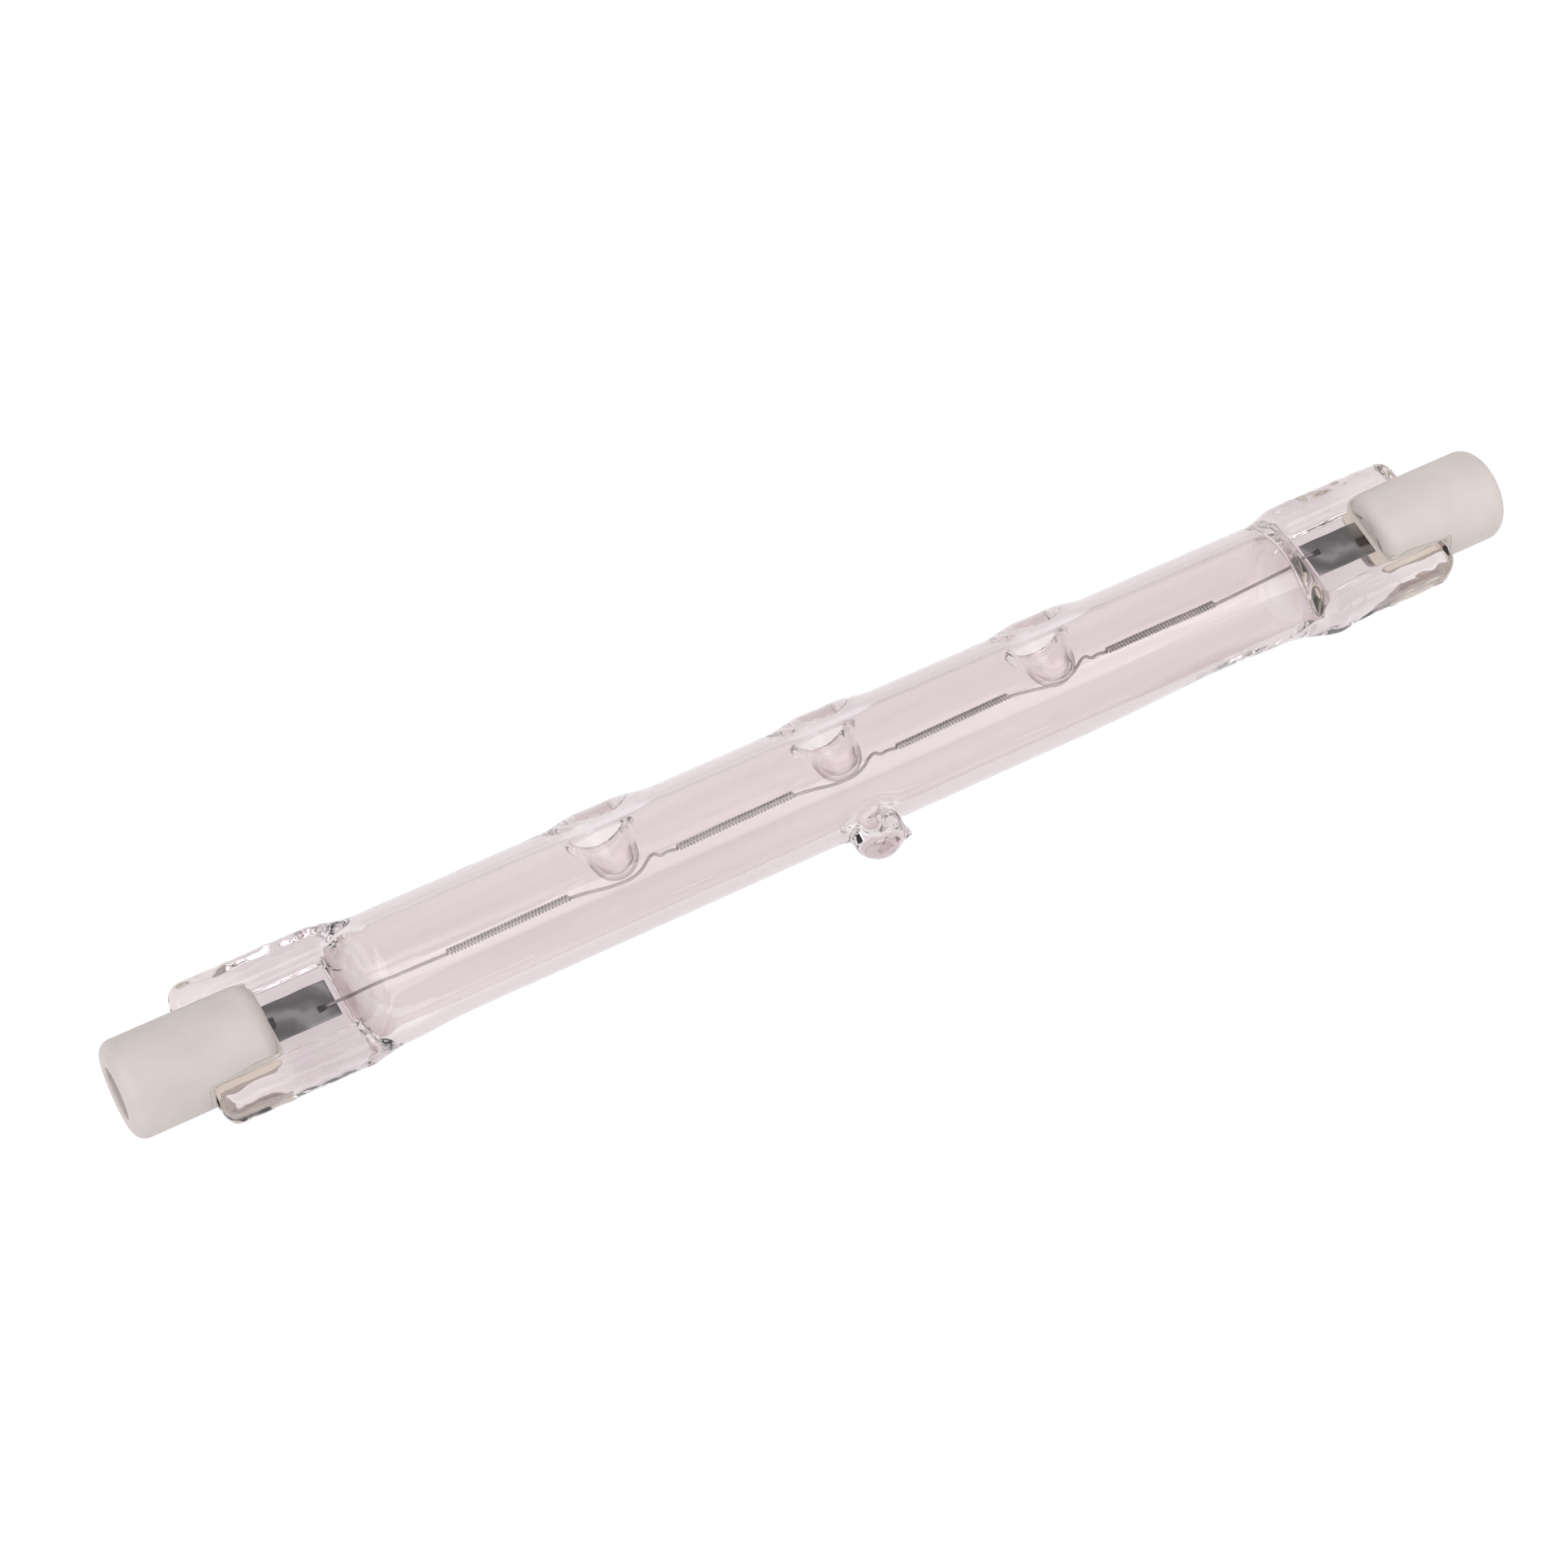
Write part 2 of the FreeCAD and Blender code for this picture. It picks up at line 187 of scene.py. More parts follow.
# Ceramic caps and their cement, with the rounding of the caps' edges and the fineness of both meshes
CAP_RADIUS = 3.75
CAP_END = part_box("ceramic_cap_right")[1].x / MM
CAP_EDGE = 1.0
TONGUE_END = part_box("ceramic_cap_right")[0].x / MM
TONGUE_EDGE = 1.4
CAP_SNAP = 0.22
CAP_VOXEL = 0.1
CAP_SMOOTHING = 20
CEMENT_VOXEL = 0.07
CEMENT_SMOOTHING = 12
SMOOTHING_FACTOR = 0.5

# Where the glass changes its look, by the distance from the axis, along it and above it
WALL_GLASS = (4.2, 4.5)
DIMPLE_GLASS = (3.7, 3.4)
NOSE_GLASS = (2.0, 1.3)
TIP_GLASS = (5.3, 5.9)
SEAL_GLASS = (SHOULDER, PINCH_FLAT)
END_GLASS = (46.5, 49.0)
# Heights, from above the axis to below it, over which painted light pales the tube towards its low side
LOW_SIDE_LIGHT_HEIGHTS = (3.0, -3.0)
STREAK_SHARE = 0.06
# How far out a cement face looks, from its open edges to its bed, which faces in at the glass; the painted
# glow grows over this span
CEMENT_GLOW_FACING = (-0.6, -0.95)

# Tones of the materials, each as a dark and a light one, and the pattern's values that they stand at
QUARTZ_STOPS = (0.35, 0.65)
TUBE_TINTS = ((0.785, 0.717, 0.729), (0.841, 0.782, 0.794))
# Painted light: paler tints for the tube's low side
LOW_SIDE_LIGHT_TINTS = ((0.830, 0.760, 0.771), (0.880, 0.815, 0.826))
SEAL_TINTS = ((0.62, 0.533, 0.553), (0.68, 0.602, 0.617))
# The seal's ends by the caps are kept clearer than the rest of the seal, painted light that lifts the shade
# of the cement seen through them
END_LIGHTENING_TINTS = ((0.71, 0.62, 0.625), (0.77, 0.69, 0.69))
DIMPLE_TINTS = ((0.970, 0.957, 0.959), (0.985, 0.977, 0.978))
MOTTLE_STOPS = (0.3, 0.7)
# How many times finer a metal's bumps are than its mottle
BUMP_FINENESS = 4.0
TUNGSTEN_TONES = ((0.36, 0.34, 0.34), (0.52, 0.49, 0.49))
WELD_TONES = ((0.02, 0.02, 0.02), (0.06, 0.06, 0.06))
LEAD_TONES = ((0.05, 0.05, 0.05), (0.12, 0.11, 0.11))
CONTACT_TONES = ((0.30, 0.28, 0.26), (0.44, 0.42, 0.40))
# The right cap's tones are painted lighter than the left one's, to make up for the key light that falls on
# it less
CERAMIC_TONES_AND_PAINTED_LIGHT = {
    "left": ((0.416, 0.373, 0.360), (0.453, 0.410, 0.396)),
    "right": ((0.444, 0.400, 0.380), (0.484, 0.438, 0.419)),
}
CEMENT_TONES = ((0.155, 0.140, 0.125), (0.205, 0.185, 0.165))
# Painted glow of the cement, which lightens its shade: weak at its open edges and strong on its bed
CEMENT_PAINTED_GLOW = ((0.0, (0.32, 0.29, 0.265)), (1.0, (0.63, 0.57, 0.505)))
# Painted sheen of the foils, in slanting bands
FOIL_PAINTED_SHEEN = ((0.0, (0.195, 0.197, 0.194)), (0.55, (0.290, 0.298, 0.297)), (1.0, (0.44, 0.468, 0.474)))
# Painted shade that darkens the glass from where a face looks at the viewer to where it is seen edge on
WHITE = (1.0, 1.0, 1.0)
BORE_EDGE_SHADE = ((0.6, WHITE), (0.8, (0.86, 0.82, 0.82)), (1.0, (0.35, 0.27, 0.26)))
WALL_EDGE_SHADE = ((0.36, WHITE), (0.46, (0.72, 0.66, 0.67)), (0.8, (0.66, 0.60, 0.60)), (1.0, (0.40, 0.33, 0.33)))
NOSE_EDGE_SHADE = ((0.3, WHITE), (0.5, (0.50, 0.43, 0.43)), (0.8, (0.05, 0.04, 0.04)))

# Camera, fitted to the photograph's outline of the lamp
SENSOR_WIDTH = 36.0
FOCAL_LENGTH = 82.6
CAMERA_AZIMUTH = math.radians(-22.56)
CAMERA_ELEVATION = math.radians(34.67)
CAMERA_ROLL = math.radians(-10.48)
CAMERA_DISTANCE = 270.0
CAMERA_SIDE = -4.57
CAMERA_RISE = -0.9

# Light paths that thick, many-sided glass needs
ALL_BOUNCES = 48
GLASS_BOUNCES = 32

# Least distance to divide by
TINY = 1e-9


def smooth_step(low, high, value):
    """A share that goes smoothly from 0 at the low value to 1 at the high one."""
    share = np.clip((value - low) / (high - low), 0.0, 1.0)
    return share * share * (3.0 - 2.0 * share)


def smooth_min(first, second, width):
    """The lesser of two heights, with their meeting rounded over a width."""
    share = np.clip(0.5 + 0.5 * (second - first) / width, 0.0, 1.0)
    return second + (first - second) * share - width * share * (1.0 - share)


def placed(points):
    """Points of the lamp's own frame, rolled to where it rests and given in metres."""
    x, y, z = np.asarray(points, float).reshape(-1, 3).T
    rolled_y = y * math.cos(REST_ROLL) - z * math.sin(REST_ROLL)
    rolled_z = y * math.sin(REST_ROLL) + z * math.cos(REST_ROLL)
    return np.stack([x, rolled_y, rolled_z], axis=1) * MM


def dress(piece, nodes, material):
    """Puts the piece on the lamp's body in the place of its CAD nodes."""
    piece.data.materials.clear()
    piece.data.materials.append(material)
    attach(piece, "root")
    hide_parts(*nodes)


def mesh_piece(name, points, faces):
    """A smooth-shaded object from points of the lamp's own frame."""
    mesh = bpy.data.meshes.new(name)
    mesh.from_pydata(placed(points).tolist(), [], faces)
    mesh.shade_smooth()
    piece = bpy.data.objects.new(name, mesh)
    bpy.context.scene.collection.objects.link(piece)
    return piece


def grid_faces(rows, columns, first=0, flipped=False):
    """Quads of a grid that closes round its columns, facing outwards unless flipped."""
    faces = []
    for row in range(rows - 1):
        for column in range(columns):
            beside = (column + 1) % columns
            a = first + row * columns + column
            b = first + row * columns + beside
            quad = (a, b, b + columns, a + columns)
            faces.append(quad[::-1] if flipped else quad)
    return faces


def end_faces(row_start, columns, flipped):
    """Closes the end of a grid by joining each point to the one below it."""
    faces = []
    for column in range(columns // 2):
        top = (row_start + column, row_start + column + 1)
        low = (row_start + columns - column - 1, row_start + (columns - column) % columns)
        face = [top[0], top[1], low[0], low[1]]
        face = [p for i, p in enumerate(face) if p not in face[:i]]
        faces.append(tuple(reversed(face)) if flipped else tuple(face))
    return faces


def both_ways(spans):
    """Stations from the left end to the right one, from the right half's spans (start, stop, step)."""
    half = [np.linspace(a, b, max(2, round((b - a) / step)), endpoint=False) for a, b, step in spans]
    half = np.append(np.concatenate(half), spans[-1][1])
    return np.concatenate([-half[:0:-1], half])


def tube_spans():
    """Spans of the tube's right half, fine at the dimples and the exhaust tip."""
    fine_start = DIMPLE_PITCH - DIMPLE_FINE_REACH
    fine_end = DIMPLE_PITCH + DIMPLE_FINE_REACH
    return [(0.0, MIDDLE_FINE_END, FINE_STEP), (MIDDLE_FINE_END, fine_start, PLAIN_STEP),
            (fine_start, fine_end, FINE_STEP), (fine_end, SHOULDER, PLAIN_STEP)]


def skin_grid(spans):
    """Stations and angles of a skin's points, as two grids."""
    round_angles = np.arange(SKIN_COLUMNS) * 2 * math.pi / SKIN_COLUMNS
    return np.meshgrid(both_ways(spans), round_angles, indexing="ij")


def gathered(x, angle, tube_radius, nose_radius):
    """Draws the grid's lines together on each dimple's steep flank, so that it gets finer faces there."""
    flank_top = nose_radius + tube_radius * math.tan(DIMPLE_FLANK) + FLANK_MARGIN
    spread = (0.0, FOOT_SHARE * DIMPLE_REACH, TOP_SHARE * DIMPLE_REACH, DIMPLE_REACH)
    drawn = (0.0, nose_radius - FLANK_MARGIN, flank_top, DIMPLE_REACH)
    side = math.pi / 2 - DIMPLE_LEAN
    for dimple_x in DIMPLES_X:
        across = tube_radius * np.sin(angle - side)
        away = np.hypot(x - dimple_x, across)
        inside = (away < DIMPLE_REACH) & (np.cos(angle - side) > 0)
        share = np.where(inside, np.interp(away, spread, drawn) / np.maximum(away, TINY), 1.0)
        turned = side + np.arcsin(np.clip(across * share / tube_radius, -1.0, 1.0))
        x = dimple_x + (x - dimple_x) * share
        angle = np.where(inside, turned, angle)
    return x, angle


def pinch_section(angle, half_width, half_height):
    """A rounded rectangle whose points match the angles round the tube."""
    fold = np.arctan2(np.abs(np.sin(angle)), np.abs(np.cos(angle)))
    rounding = np.minimum(EDGE_ROUNDING, np.minimum(half_width, half_height))
    turn = np.clip((fold - SIDE_SHARE) / (CORNER_SHARE - SIDE_SHARE), 0.0, 1.0) * math.pi / 2
    flat = np.clip((math.pi / 2 - fold) / (math.pi / 2 - CORNER_SHARE), 0.0, 1.0)
    side = np.clip(fold / SIDE_SHARE, 0.0, 1.0)
    y = (half_width - rounding) * flat + rounding * np.cos(turn)
    z = (half_height - rounding) * side + rounding * np.sin(turn)
    return y * np.sign(np.cos(angle)), z * np.sign(np.sin(angle))


def trough(x, y, z):
    """Height of the pinch's faces after the web between the rims is pressed in."""
    inside = 1.0 - smooth_step(TROUGH_HALF_WIDTH - TROUGH_SLOPE, TROUGH_HALF_WIDTH + TROUGH_SLOPE, np.abs(y))
    inside = inside * smooth_step(TROUGH_START - TROUGH_RUN, TROUGH_START + TROUGH_RUN, np.abs(x))
    return z - np.sign(z) * np.minimum(np.abs(z), TROUGH_DEPTH * inside)


def pressed(x, y, z, nose_radius, nose_z, blend):
    """Presses the three dimples into a skin, each a ball and a cone along its leaning axis."""
    lean_y, lean_z = math.sin(DIMPLE_LEAN), math.cos(DIMPLE_LEAN)
    tangent = nose_radius * math.cos(DIMPLE_FLANK)
    cone_start = nose_z + nose_radius * (1.0 - math.sin(DIMPLE_FLANK))
    for dimple_x in DIMPLES_X:
        height = y * lean_y + z * lean_z
        away = np.hypot(x - dimple_x, y * lean_z - z * lean_y)
        ball = nose_z + nose_radius - np.sqrt(np.maximum(nose_radius ** 2 - away ** 2, 0.0))
        cone = cone_start + (away - tangent) / math.tan(DIMPLE_FLANK)
        bottom = np.where(away < tangent, ball, cone)
        sunk = np.where(height > 0, smooth_min(height, bottom, blend) - height, 0.0)
        y = y + sunk * lean_y
        z = z + sunk * lean_z
    return y, z


def swollen(x, y, z):
    """Swells the tube a little on the side of each dimple."""
    facing = np.clip((y * math.sin(DIMPLE_LEAN) + z * math.cos(DIMPLE_LEAN)) / TUBE_RADIUS, 0.0, 1.0)
    for dimple_x in DIMPLES_X:
        near = 1.0 - smooth_step(SWELL_CROWN, SWELL_CROWN + SWELL_TAPER, np.abs(x - dimple_x))
        grow = 1.0 + near * facing * SWELL_HEIGHT / TUBE_RADIUS
        y, z = y * grow, z * grow
    return y, z


def beaded(x, y, z):
    """Draws the skin round the exhaust tip out into its bead and nub."""
    along, across = x - TIP_X, z
    away = np.hypot(along, across)
    inside = (away < TIP_BASE_REACH) & (y < -TUBE_RADIUS / 2)
    share = away / TIP_BASE_REACH
    along_part = np.where(away > 0, along / np.maximum(away, TINY), 1.0)
    across_part = np.where(away > 0, across / np.maximum(away, TINY), 0.0)
    polar = TIP_NECK_ANGLE * np.minimum(share / TIP_NECK_SHARE, 1.0)
    ring = TIP_RADIUS * np.sin(polar)
    out = TIP_REACH + TIP_RADIUS * np.cos(polar)
    neck_lift = out - np.sqrt(TUBE_RADIUS ** 2 - (ring * across_part) ** 2)
    beyond = np.clip((share - TIP_NECK_SHARE) / (1.0 - TIP_NECK_SHARE), 0.0, 1.0)
    ring = ring + (TIP_BASE_REACH - ring) * beyond
    flank = np.sqrt(np.maximum(TUBE_RADIUS ** 2 - (ring * across_part) ** 2, 0.0))
    out = np.where(beyond > 0, flank + neck_lift * (1.0 - beyond) ** 2, out)
    aim = np.arccos(np.clip(np.sin(polar) * along_part * math.sin(NUB_ANGLE)
                            + np.cos(polar) * math.cos(NUB_ANGLE), -1.0, 1.0))
    nub = NUB_LENGTH * np.exp(-(aim / NUB_SPREAD) ** 2) * (1.0 - beyond)
    ring_x = ring * along_part + nub * math.sin(NUB_ANGLE)
    out = out + nub * math.cos(NUB_ANGLE)
    return (np.where(inside, TIP_X + ring_x, x), np.where(inside, -out, y),
            np.where(inside, ring * across_part, z))


def waves(x, y, z, size):
    """A smooth random vector for each point, the same in each run."""
    noise.seed_set(WAVE_SEED)
    rows = np.stack([x.ravel(), y.ravel(), z.ravel()], axis=1) / size
    return np.array([noise.noise_vector(Vector(row)) for row in rows]).reshape(*x.shape, 3)


def uneven(x, y, z):
    """Small wavy departures of the drawn tube, larger ones of the seals and fine ones of their rims."""
    pinch = smooth_step(SHOULDER, PINCH_FLAT, np.abs(x))
    rim = pinch * smooth_step(RIM_INSIDE, RIM_INSIDE + RIM_BLEND, np.abs(y))
    wave = waves(x, y, z, UNEVEN_SIZE)
    grain = waves(x, y, z, RIM_UNEVEN_SIZE)
    amount = TUBE_UNEVEN + (PINCH_UNEVEN - TUBE_UNEVEN) * pinch
    y = y + wave[..., 1] * amount + grain[..., 1] * rim * RIM_UNEVEN
    z = z + wave[..., 2] * amount + grain[..., 2] * rim * RIM_UNEVEN
    low_side = np.clip(-y / TUBE_RADIUS, 0.0, 1.0)
    for dent_x, half_length, rise in DENTS:
        y = y + rise * low_side * np.exp(-((x - dent_x) / half_length) ** 2)
    return y, z


def kept_inside(piece, node):
    """Holds a piece's points inside the box of the CAD node that it replaces."""
    low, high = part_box(node)
    for vertex in piece.data.vertices:
        vertex.co = [min(max(value, a), b) for value, a, b in zip(vertex.co, low, high)]


def outer_skin():
    """Points of the envelope's outside, in rings from the left end to the right one."""
    x, angle = skin_grid(tube_spans() + [(SHOULDER, SEAL_FINE_END, FINE_STEP),
                                         (SEAL_FINE_END, CORNER_START, SEAL_STEP),
                                         (CORNER_START, PINCH_END, CORNER_STEP)])
    x, angle = gathered(x, angle, TUBE_RADIUS, PIT_RADIUS)
    into_corner = np.clip((np.abs(x) - CORNER_START) / CORNER_ROUNDING, 0.0, 1.0)
    into_edge = np.clip((np.abs(x) - PINCH_END + END_ROUNDING) / END_ROUNDING, 0.0, 1.0)
    half_width = PINCH_HALF_WIDTH - CORNER_ROUNDING * (1.0 - np.sqrt(1.0 - into_corner ** 2))
    half_height = RIM_HALF_HEIGHT - END_ROUNDING * (1.0 - np.sqrt(1.0 - into_edge ** 2))
    flat_y, flat_z = pinch_section(angle, half_width, half_height)
    flat_z = trough(x, flat_y, flat_z)
    pinch = smooth_step(SHOULDER, PINCH_FLAT, np.abs(x))
    y = TUBE_RADIUS * np.cos(angle) * (1.0 - pinch) + flat_y * pinch
    z = TUBE_RADIUS * np.sin(angle) * (1.0 - pinch) + flat_z * pinch
    y, z = swollen(x, y, z)
    y, z = pressed(x, y, z, PIT_RADIUS, DIMPLE_NOSE_Z + DIMPLE_WALL, PIT_BLEND)
    x, y, z = beaded(x, y, z)
    y, z = uneven(x, y, z)
    return np.stack([x, y, z], axis=-1)


def inner_skin():
    """Points of the gas space's wall, in rings from its left end to its right one."""
    x, angle = skin_grid(tube_spans() + [(SHOULDER, CAVITY_END, CAVITY_STEP)])
    x, angle = gathered(x, angle, BORE_RADIUS, NOSE_RADIUS)
    slit_y, slit_z = pinch_section(angle, CAVITY_HALF_WIDTH, CAVITY_SLIT)
    pinch = smooth_step(SHOULDER, CAVITY_END, np.abs(x))
    y = BORE_RADIUS * np.cos(angle) * (1.0 - pinch) + slit_y * pinch
    z = BORE_RADIUS * np.sin(angle) * (1.0 - pinch) + slit_z * pinch
    x = x - np.sign(x) * pinch * CAVITY_FRONT_BULGE * (y / BORE_RADIUS) ** 2
    y, z = pressed(x, y, z, NOSE_RADIUS, DIMPLE_NOSE_Z, NOSE_BLEND)
    away = np.hypot(x - TIP_X, z)
    y = y - np.where(y < -BORE_RADIUS / 2, STUB_DEPTH * np.exp(-(away / STUB_RADIUS) ** 4), 0.0)
    return np.stack([x, y, z], axis=-1)


def quartz_envelope():
    """The tube, its dimples, exhaust tip and pinch seals in one mesh with an outer and an inner skin."""
    outer, inner = outer_skin(), inner_skin()
    points = np.concatenate([outer.reshape(-1, 3), inner.reshape(-1, 3)])
    inner_first = outer.shape[0] * SKIN_COLUMNS
    faces = grid_faces(outer.shape[0], SKIN_COLUMNS)
    faces += end_faces(0, SKIN_COLUMNS, flipped=False)
    faces += end_faces(inner_first - SKIN_COLUMNS, SKIN_COLUMNS, flipped=True)
    faces += grid_faces(inner.shape[0], SKIN_COLUMNS, inner_first, flipped=True)
    faces += end_faces(inner_first, SKIN_COLUMNS, flipped=True)
    faces += end_faces(len(points) - SKIN_COLUMNS, SKIN_COLUMNS, flipped=False)
    piece = mesh_piece("quartz_envelope_glass", points, faces)
    kept_inside(piece, "quartz_envelope")
    dress(piece, ["quartz_envelope"], quartz_material())


def rounded(points):
    """Cuts the corners of a line of points, which keeps its ends."""
    points = np.asarray(points, float)
    for _ in range(BEND_ROUNDS):
        near = points[:-1] * (1.0 - BEND_CUT) + points[1:] * BEND_CUT
        far = points[:-1] * BEND_CUT + points[1:] * (1.0 - BEND_CUT)
        points = np.concatenate([points[:1], np.stack([near, far], axis=1).reshape(-1, 3), points[-1:]])
    return points


def wire_radius(x):
    """Radius of the wire along the lamp, which is spread at the welds on the foils."""
    in_coil = np.abs(x[:, None] - np.array(COILS_X)).min(axis=1) < COIL_LENGTH / 2
    spread = WELD_SPREAD * smooth_step(LEG_END - WELD_LENGTH, LEG_END, np.abs(x))
    return np.where(in_coil, COIL_WIRE_RADIUS, RUN_WIRE_RADIUS) * (1.0 + spread)


def wire_mesh(path, radius, sides):
    """Points and faces of a round wire along a path, closed at both ends."""
    tangent = np.gradient(path, axis=0)
    tangent /= np.linalg.norm(tangent, axis=1)[:, None]
    normal = np.cross(tangent[0], (0.0, 1.0, 0.0))
    points = []
    for spot, ahead, reach in zip(path, tangent, radius):
        normal = normal - ahead * np.dot(normal, ahead)
        normal /= np.linalg.norm(normal)
        side = np.cross(ahead, normal)
        for step in range(sides):
            turn = 2 * math.pi * step / sides
            points.append(spot + reach * (normal * math.cos(turn) + side * math.sin(turn)))
    faces = grid_faces(len(path), sides)
    faces.append(tuple(range(sides)))
    last = (len(path) - 1) * sides
    faces.append(tuple(range(last + sides - 1, last - 1, -1)))
    return points, faces


def coil_path(centre_x):
    """One coiled section, which starts and ends on its low side."""
    steps = COIL_TURNS * POINTS_PER_TURN
    turn = np.linspace(0.0, 2 * math.pi * COIL_TURNS, steps + 1)
    x = centre_x + COIL_LENGTH * (np.linspace(0.0, 1.0, steps + 1) - 0.5)
    return np.stack([x, COIL_RADIUS * np.sin(turn), -COIL_RADIUS * np.cos(turn)], axis=1)


def run_path(start, stop, dimple_x):
    """The bent wire between two coils, which passes under a dimple's nose."""
    lean_y, lean_z = math.sin(DIMPLE_LEAN), math.cos(DIMPLE_LEAN)
    bends = [(dimple_x + past, rise * lean_y, rise * lean_z) for past, rise in RUN_BENDS]
    return rounded([start, *bends, stop])[1:-1]


def leg_path(direction, coil_end):
    """A leg from the foil to the nearest coil's end."""
    weld = (direction * LEG_END, 0.0, LEG_Z)
    bend = (direction * (LEG_END - LEG_LENGTH), 0.0, LEG_Z)
    return rounded([weld, bend, coil_end])[:-1]


def filament():
    """One wire through both legs, the four coils and the three bent runs."""
    coils = [coil_path(x) for x in COILS_X]
    path = [leg_path(-1, coils[0][0]), coils[0]]
    for dimple_x, before, after in zip(DIMPLES_X, coils, coils[1:]):
        path += [run_path(before[-1], after[0], dimple_x), after]
    path.append(leg_path(1, coils[-1][-1])[::-1])
    path = np.concatenate(path)
    path[:, 1] += WIRE_OFFSET + WIRE_SKEW * path[:, 0]
    points, faces = wire_mesh(path, wire_radius(path[:, 0]), WIRE_SIDES)
    dress(mesh_piece("filament_wire", points, faces), ["filament"], tungsten_material())


def plate_faces(rows, columns):
    """Faces of a plate whose two sheets of points follow each other, the low one first."""
    faces = []
    top = rows * columns
    for row in range(rows - 1):
        for column in range(columns - 1):
            a = row * columns + column
            quad = (a, a + columns, a + columns + 1, a + 1)
            faces += [quad[::-1], tuple(p + top for p in quad)]
    rim = [row * columns for row in range(rows)]
    rim += [top - columns + column for column in range(1, columns)]
    rim += [row * columns + columns - 1 for row in range(rows - 2, -1, -1)]
    rim += list(range(columns - 2, 0, -1))
    for a, b in zip(rim, rim[1:] + rim[:1]):
        faces.append((a, b, b + top, a + top))
    return faces


def moly_foil(side, direction):
    """A thin, slightly rippled plate with a wavy cut edge."""
    along, across = np.meshgrid(np.linspace(FOIL_INNER, FOIL_OUTER, FOIL_ROWS),
                                np.linspace(-1.0, 1.0, FOIL_COLUMNS), indexing="ij")
    wavy = FOIL_HALF_WIDTH * (1.0 - EDGE_WAVE_SHARE * (1.0 + np.sin(along * EDGE_WAVE_PACE + across)))
    ripple = RIPPLE_HEIGHT * np.sin(along * RIPPLE_PACE + across * RIPPLE_SLANT)
    ripple = ripple * np.cos(along * RIPPLE_SWAY - across)
    y = FOIL_ASKEW[side] + across * wavy
    sheets = [np.stack([along * direction, y, FOIL_Z + ripple + lift], axis=-1).reshape(-1, 3)
              for lift in (-FOIL_THICKNESS / 2, FOIL_THICKNESS / 2)]
    faces = plate_faces(FOIL_ROWS, FOIL_COLUMNS)
    if direction < 0:
        faces = [face[::-1] for face in faces]
    piece = mesh_piece(f"moly_foil_{side}_plate", np.concatenate(sheets), faces)
    dress(piece, [f"moly_foil_{side}"], molybdenum_material())


def remeshed(name, node, voxel, smoothing):
    """A finely meshed copy of a CAD node with softened edges, worked at a thousand times its size."""
    piece = bpy.data.objects.new(name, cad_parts[node].data.copy())
    bpy.context.scene.collection.objects.link(piece)
    piece.data.transform(Matrix.Scale(1.0 / MM, 4))
    remesh = piece.modifiers.new("remesh", "REMESH")
    remesh.mode = "VOXEL"
    remesh.voxel_size = voxel
    smooth = piece.modifiers.new("smooth", "SMOOTH")
    smooth.factor = SMOOTHING_FACTOR
    smooth.iterations = smoothing
    mesh = bpy.data.meshes.new_from_object(piece.evaluated_get(bpy.context.evaluated_depsgraph_get()))
    piece.modifiers.clear()
    piece.data = mesh
    mesh.transform(Matrix.Scale(MM, 4))
    mesh.shade_smooth()
    return piece


def turned_round(mesh):
    """Moves a cap's outer points onto the true round of its side and of its rounded ends."""
    for vertex in mesh.vertices:
        x, y, z = vertex.co / MM
        away = math.hypot(y, z)
        past = max(0.0, abs(x) - CAP_END + CAP_EDGE)
        edge = CAP_RADIUS - CAP_EDGE + math.sqrt(max(0.0, CAP_EDGE ** 2 - past ** 2))
        past = max(0.0, TONGUE_END + TONGUE_EDGE - abs(x))
        edge = min(edge, CAP_RADIUS - TONGUE_EDGE + math.sqrt(max(0.0, TONGUE_EDGE ** 2 - past ** 2)))
        if away > edge - CAP_SNAP:
            vertex.co.y *= edge / away
            vertex.co.z *= edge / away


def ceramic_cap(side):
    """A cap with softened edges and a true round."""
    piece = remeshed(f"ceramic_cap_{side}_body", f"ceramic_cap_{side}", CAP_VOXEL, CAP_SMOOTHING)
    turned_round(piece.data)
    dress(piece, [f"ceramic_cap_{side}"], ceramic_material(CERAMIC_TONES_AND_PAINTED_LIGHT[side]))


def cap_cement(side):
    """The cement that beds a cap on its seal."""
    piece = remeshed(f"cap_cement_{side}_bed", f"cap_cement_{side}", CEMENT_VOXEL, CEMENT_SMOOTHING)
    dress(piece, [f"cap_cement_{side}"], cement_material())


def material_tree(name):
    """A new material, with its node tree and its main shader."""
    material = bpy.data.materials.new(name)
    material.use_nodes = True
    tree = material.node_tree
    return material, tree, tree.nodes["Principled BSDF"]


def noise_texture(tree, scale, detail=3.0, coordinates=None):
    """A noise pattern, in the lamp's coordinates unless others are given."""
    texture = tree.nodes.new("ShaderNodeTexNoise")
    texture.inputs["Scale"].default_value = scale
    texture.inputs["Detail"].default_value = detail
    if coordinates is None:
        coordinates = tree.nodes.new("ShaderNodeTexCoord").outputs["Object"]
    tree.links.new(coordinates, texture.inputs["Vector"])
    return texture.outputs["Fac"]


def stretched(tree):
    """Coordinates that draw a pattern out into streaks along the lamp."""
    node = tree.nodes.new("ShaderNodeVectorMath")
    node.operation = "MULTIPLY"
    node.inputs[1].default_value = (STREAK_SHARE, 1.0, 1.0)
    tree.links.new(tree.nodes.new("ShaderNodeTexCoord").outputs["Object"], node.inputs[0])
    return node.outputs["Vector"]


